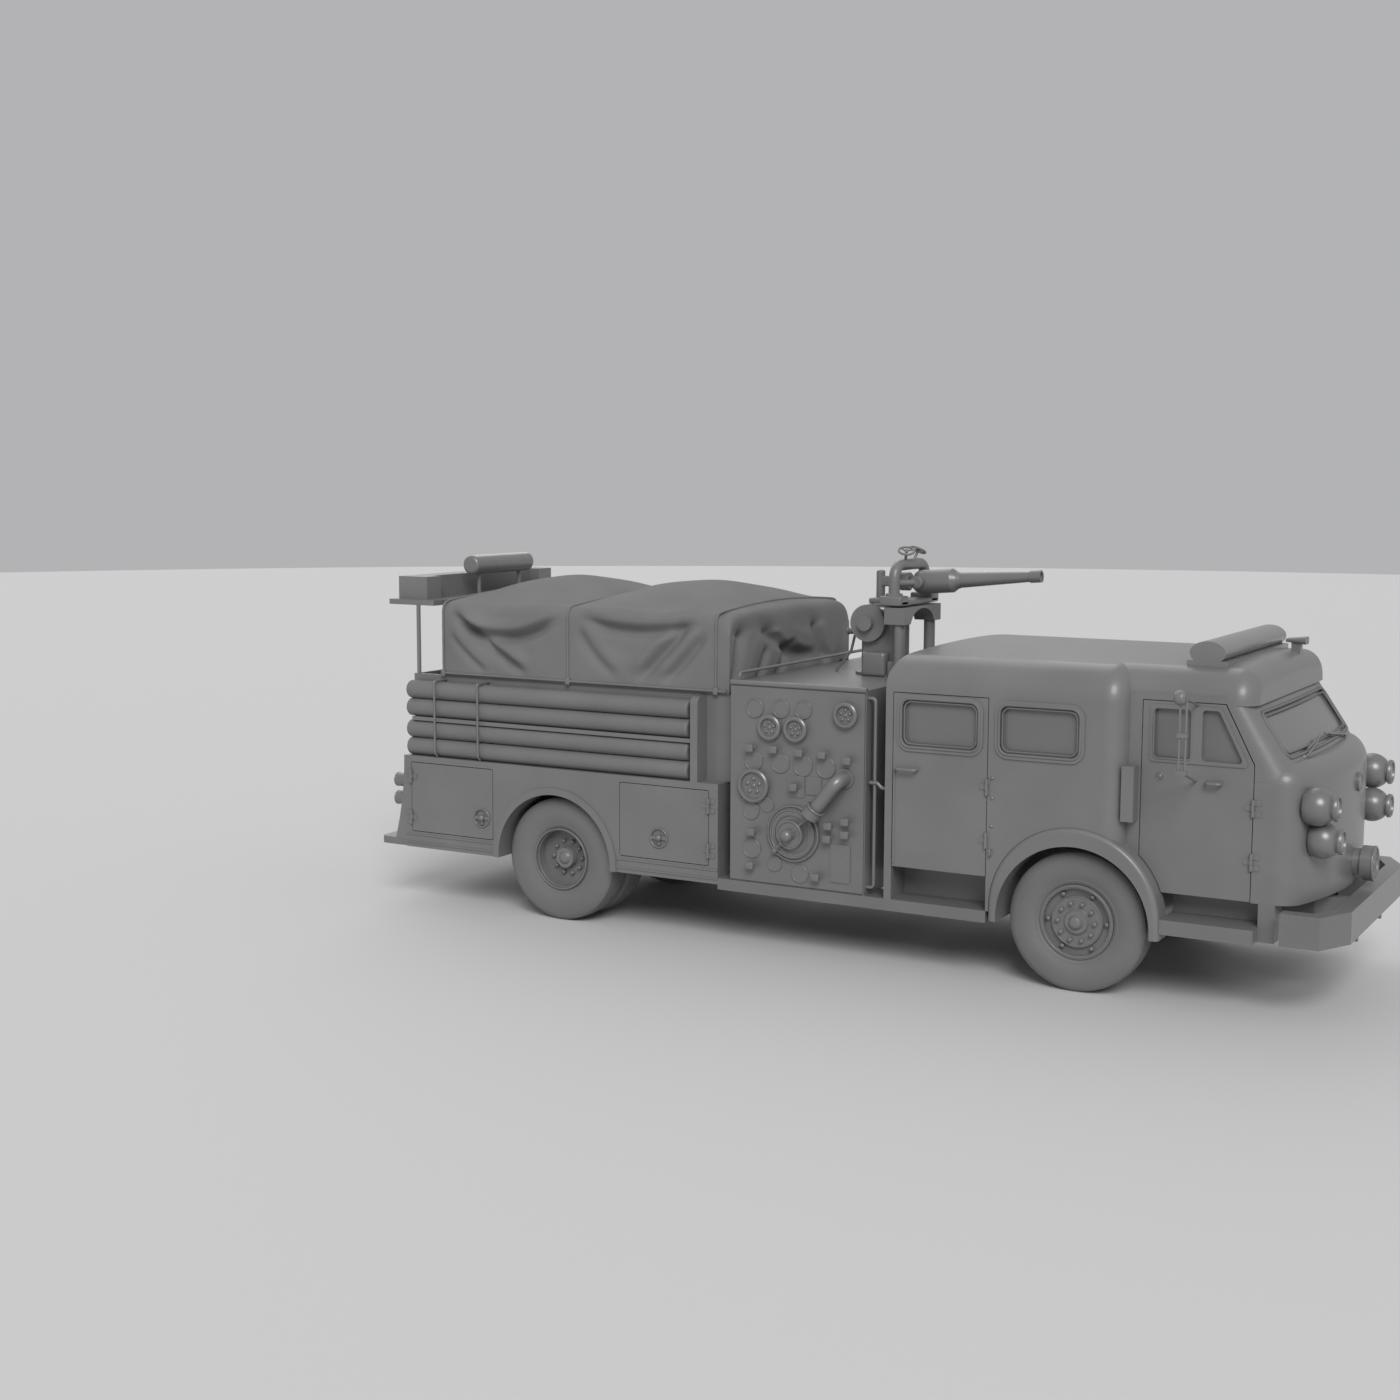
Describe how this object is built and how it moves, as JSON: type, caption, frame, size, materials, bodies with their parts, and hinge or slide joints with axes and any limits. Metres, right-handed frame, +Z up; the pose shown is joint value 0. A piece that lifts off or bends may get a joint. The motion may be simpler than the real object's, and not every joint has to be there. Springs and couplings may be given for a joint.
{
  "type": "fire engine",
  "caption": "Cab-forward pumper fire engine with a crew canopy, side pump panels, suction hoses on side racks, a covered hose bed, opening doors and lockers and a swivelling deck gun",
  "frame": {"origin": "on the ground under the middle of the overall length and width", "axes": "+X forward to the nose, +Y to the vehicle's left, +Z up"},
  "size_m": [8.23, 3.004, 3.145],
  "materials": {
    "paint": "semi-gloss grey paint",
    "chassis": "matt dark grey chassis paint",
    "bright": "smooth satin grey metal",
    "tread": "satin grey plate",
    "wheel": "satin grey wheel paint",
    "interior": "matt grey trim",
    "pane": null,
    "lens": "smooth grey lens cover",
    "seat": "grey vinyl",
    "hose": "matt grey rubber",
    "canvas": "matt grey canvas",
    "tyre": "matt grey rubber"
  },
  "bodies": {
    "chassis": {"frame_rails": "chassis", "cross_members": "chassis", "engine_block": "chassis", "front_axle_beam": "chassis", "rear_axle": "chassis", "leaf_springs": "chassis", "front_bumper": "bright", "cab_floor": "interior", "cab_rear_wall": "paint", "cab_sides": "paint", "cab_front": "paint", "cab_roof": "paint", "canopy_roof": "paint", "windscreen": "pane", "crew_side_glass": "pane", "engine_cover": "interior", "cab_seats": "seat", "dashboard": "interior", "front_fenders": "paint", "side_steps": "tread", "vehicle_lamps": "bright", "siren": "bright", "front_light_bar": "lens", "pump_house": "paint", "pump_panels": "tread", "pump_fittings": "bright", "lower_body": "paint", "hose_bed": "paint", "hose_racks": "paint", "suction_hoses": "hose", "tie_bars": "bright", "tarp_cover": "canvas", "tailboard": "tread", "lamp_arch": "paint", "rear_light_bar": "lens", "gun_pedestal": "paint"},
    "knuckle_right": {"knuckle_right": "chassis"},
    "front_wheel_right": {"front_wheel_right": "wheel", "front_tyre_right": "tyre"},
    "rear_wheels_right": {"rear_wheel_right": "wheel", "rear_tyres_right": "tyre"},
    "front_door_right": {"front_door_right": "paint", "front_door_glass_right": "pane"},
    "crew_door_right": {"crew_door_right": "paint", "crew_door_glass_right": "pane"},
    "rear_locker_door_right": {"rear_locker_door_right": "paint"},
    "front_locker_door_right": {"front_locker_door_right": "paint"},
    "knuckle_left": {"knuckle_left": "chassis"},
    "front_wheel_left": {"front_wheel_left": "wheel", "front_tyre_left": "tyre"},
    "rear_wheels_left": {"rear_wheel_left": "wheel", "rear_tyres_left": "tyre"},
    "front_door_left": {"front_door_left": "paint", "front_door_glass_left": "pane"},
    "crew_door_left": {"crew_door_left": "paint", "crew_door_glass_left": "pane"},
    "rear_locker_door_left": {"rear_locker_door_left": "paint"},
    "front_locker_door_left": {"front_locker_door_left": "paint"},
    "gun_turret": {"gun_turret": "bright"},
    "gun_barrel": {"gun_barrel": "bright"}
  },
  "joints": [
    {"name": "steer_right", "type": "hinge", "parent": "chassis", "child": "knuckle_right", "pos_m": [2.227, -0.95, 0.52], "axis": [0, 0, 1], "range_deg": [-35, 35]},
    {"name": "front_wheel_spin_right", "type": "hinge", "parent": "knuckle_right", "child": "front_wheel_right", "pos_m": [2.227, -1.005, 0.52], "axis": [0, 1, 0], "continuous": true},
    {"name": "rear_wheel_spin_right", "type": "hinge", "parent": "chassis", "child": "rear_wheels_right", "pos_m": [-2.273, -1.01, 0.52], "axis": [0, 1, 0], "continuous": true},
    {"name": "front_door_hinge_right", "type": "hinge", "parent": "chassis", "child": "front_door_right", "pos_m": [3.462, -1.104, 1.276], "axis": [0, 0, 1], "range_deg": [0, 75]},
    {"name": "crew_door_hinge_right", "type": "hinge", "parent": "chassis", "child": "crew_door_right", "pos_m": [1.56, -1.234, 1.274], "axis": [0, 0, 1], "range_deg": [0, 80]},
    {"name": "rear_locker_hinge_right", "type": "hinge", "parent": "chassis", "child": "rear_locker_door_right", "pos_m": [-3.763, -1.234, 0.94], "axis": [0, 0, -1], "range_deg": [0, 95]},
    {"name": "front_locker_hinge_right", "type": "hinge", "parent": "chassis", "child": "front_locker_door_right", "pos_m": [-0.787, -1.234, 0.94], "axis": [0, 0, 1], "range_deg": [0, 95]},
    {"name": "steer_left", "type": "hinge", "parent": "chassis", "child": "knuckle_left", "pos_m": [2.227, 0.95, 0.52], "axis": [0, 0, 1], "range_deg": [-35, 35]},
    {"name": "front_wheel_spin_left", "type": "hinge", "parent": "knuckle_left", "child": "front_wheel_left", "pos_m": [2.227, 1.005, 0.52], "axis": [0, 1, 0], "continuous": true},
    {"name": "rear_wheel_spin_left", "type": "hinge", "parent": "chassis", "child": "rear_wheels_left", "pos_m": [-2.273, 1.01, 0.52], "axis": [0, 1, 0], "continuous": true},
    {"name": "front_door_hinge_left", "type": "hinge", "parent": "chassis", "child": "front_door_left", "pos_m": [3.462, 1.104, 1.276], "axis": [0, 0, -1], "range_deg": [0, 75]},
    {"name": "crew_door_hinge_left", "type": "hinge", "parent": "chassis", "child": "crew_door_left", "pos_m": [1.56, 1.234, 1.274], "axis": [0, 0, -1], "range_deg": [0, 80]},
    {"name": "rear_locker_hinge_left", "type": "hinge", "parent": "chassis", "child": "rear_locker_door_left", "pos_m": [-3.763, 1.234, 0.94], "axis": [0, 0, 1], "range_deg": [0, 95]},
    {"name": "front_locker_hinge_left", "type": "hinge", "parent": "chassis", "child": "front_locker_door_left", "pos_m": [-0.787, 1.234, 0.94], "axis": [0, 0, -1], "range_deg": [0, 95]},
    {"name": "gun_swivel", "type": "hinge", "parent": "chassis", "child": "gun_turret", "pos_m": [0.175, 0, 2.67], "axis": [0, 0, 1], "range_deg": [-120, 120]},
    {"name": "gun_elevation", "type": "hinge", "parent": "gun_turret", "child": "gun_barrel", "pos_m": [0.5, 0, 2.88], "axis": [0, -1, 0], "range_deg": [-15, 70]}
  ],
  "couplings": [
    {"joint": "steer_left", "follows": "steer_right", "ratio": 1}
  ]
}
